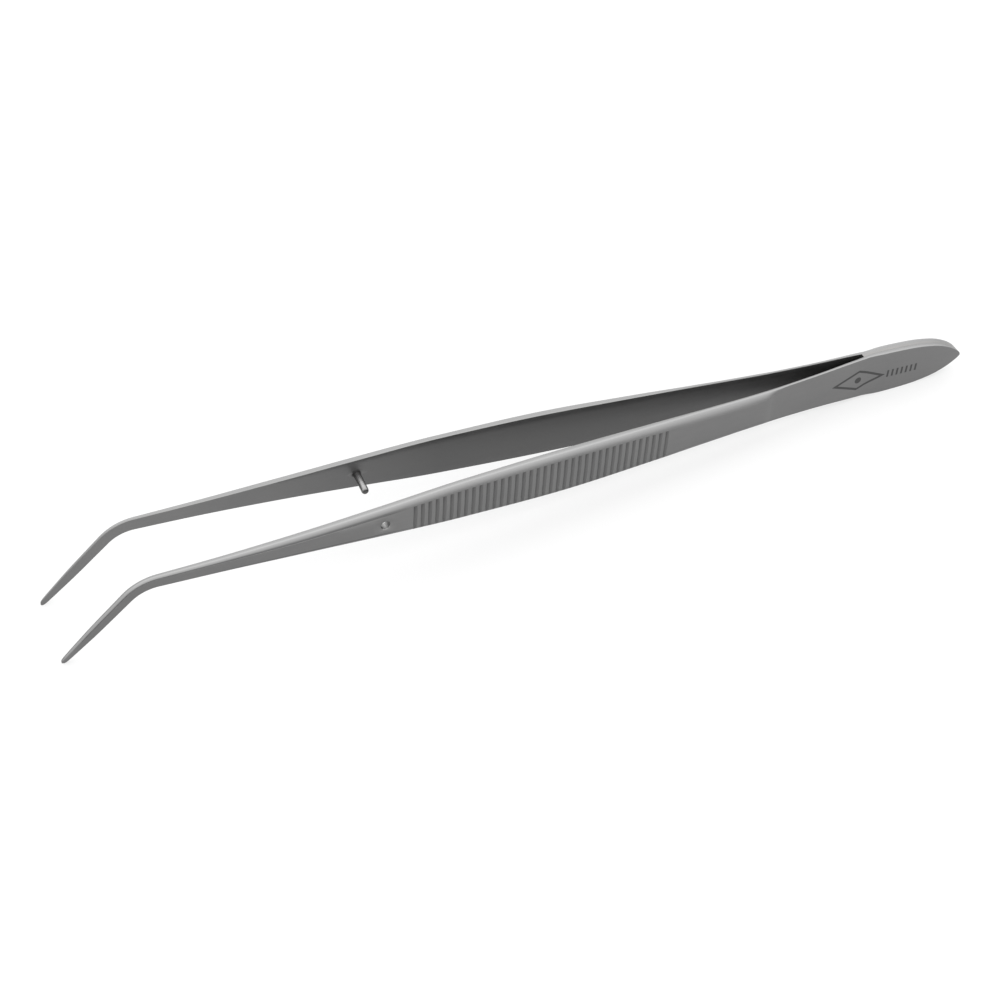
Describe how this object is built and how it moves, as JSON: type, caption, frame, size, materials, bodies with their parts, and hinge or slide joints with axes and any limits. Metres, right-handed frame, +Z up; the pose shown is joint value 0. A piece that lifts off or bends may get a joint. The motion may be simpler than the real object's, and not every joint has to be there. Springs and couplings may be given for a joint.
{
  "type": "tweezers",
  "caption": "Stainless spring tweezers with angled fine tips, cross-grooved grips and a guide pin between the arms.",
  "frame": {"origin": "middle of the footprint, on the surface that both tips and the heel's lower edge stand on", "axes": "+X towards the heel, +Y towards the rear leaf, which carries the guide pin, +Z up"},
  "size_m": [0.1555, 0.014, 0.012],
  "materials": {
    "satin_steel": "fine satin, bead-blasted stainless steel",
    "weld_steel": "ground weld",
    "pin_steel": "turned, half bright"
  },
  "bodies": {
    "heel": {"front_heel": "satin_steel", "rear_heel": "satin_steel", "heel_weld": "weld_steel"},
    "front_arm": {"front_arm": "satin_steel"},
    "rear_arm": {"rear_arm": "satin_steel", "guide_pin": "pin_steel"}
  },
  "joints": [
    {"name": "front_arm_flex", "type": "hinge", "parent": "heel", "child": "front_arm", "pos_m": [0.04931, -0.00131, 0.00491], "axis": [-0.0538, 0, -0.9985], "range_deg": [0, 2.72], "stiffness_Nm_per_rad": 1.2},
    {"name": "rear_arm_flex", "type": "hinge", "parent": "heel", "child": "rear_arm", "pos_m": [0.04931, 0.00131, 0.00491], "axis": [0.0538, 0, 0.9985], "range_deg": [0, 2.72], "stiffness_Nm_per_rad": 1.2}
  ]
}
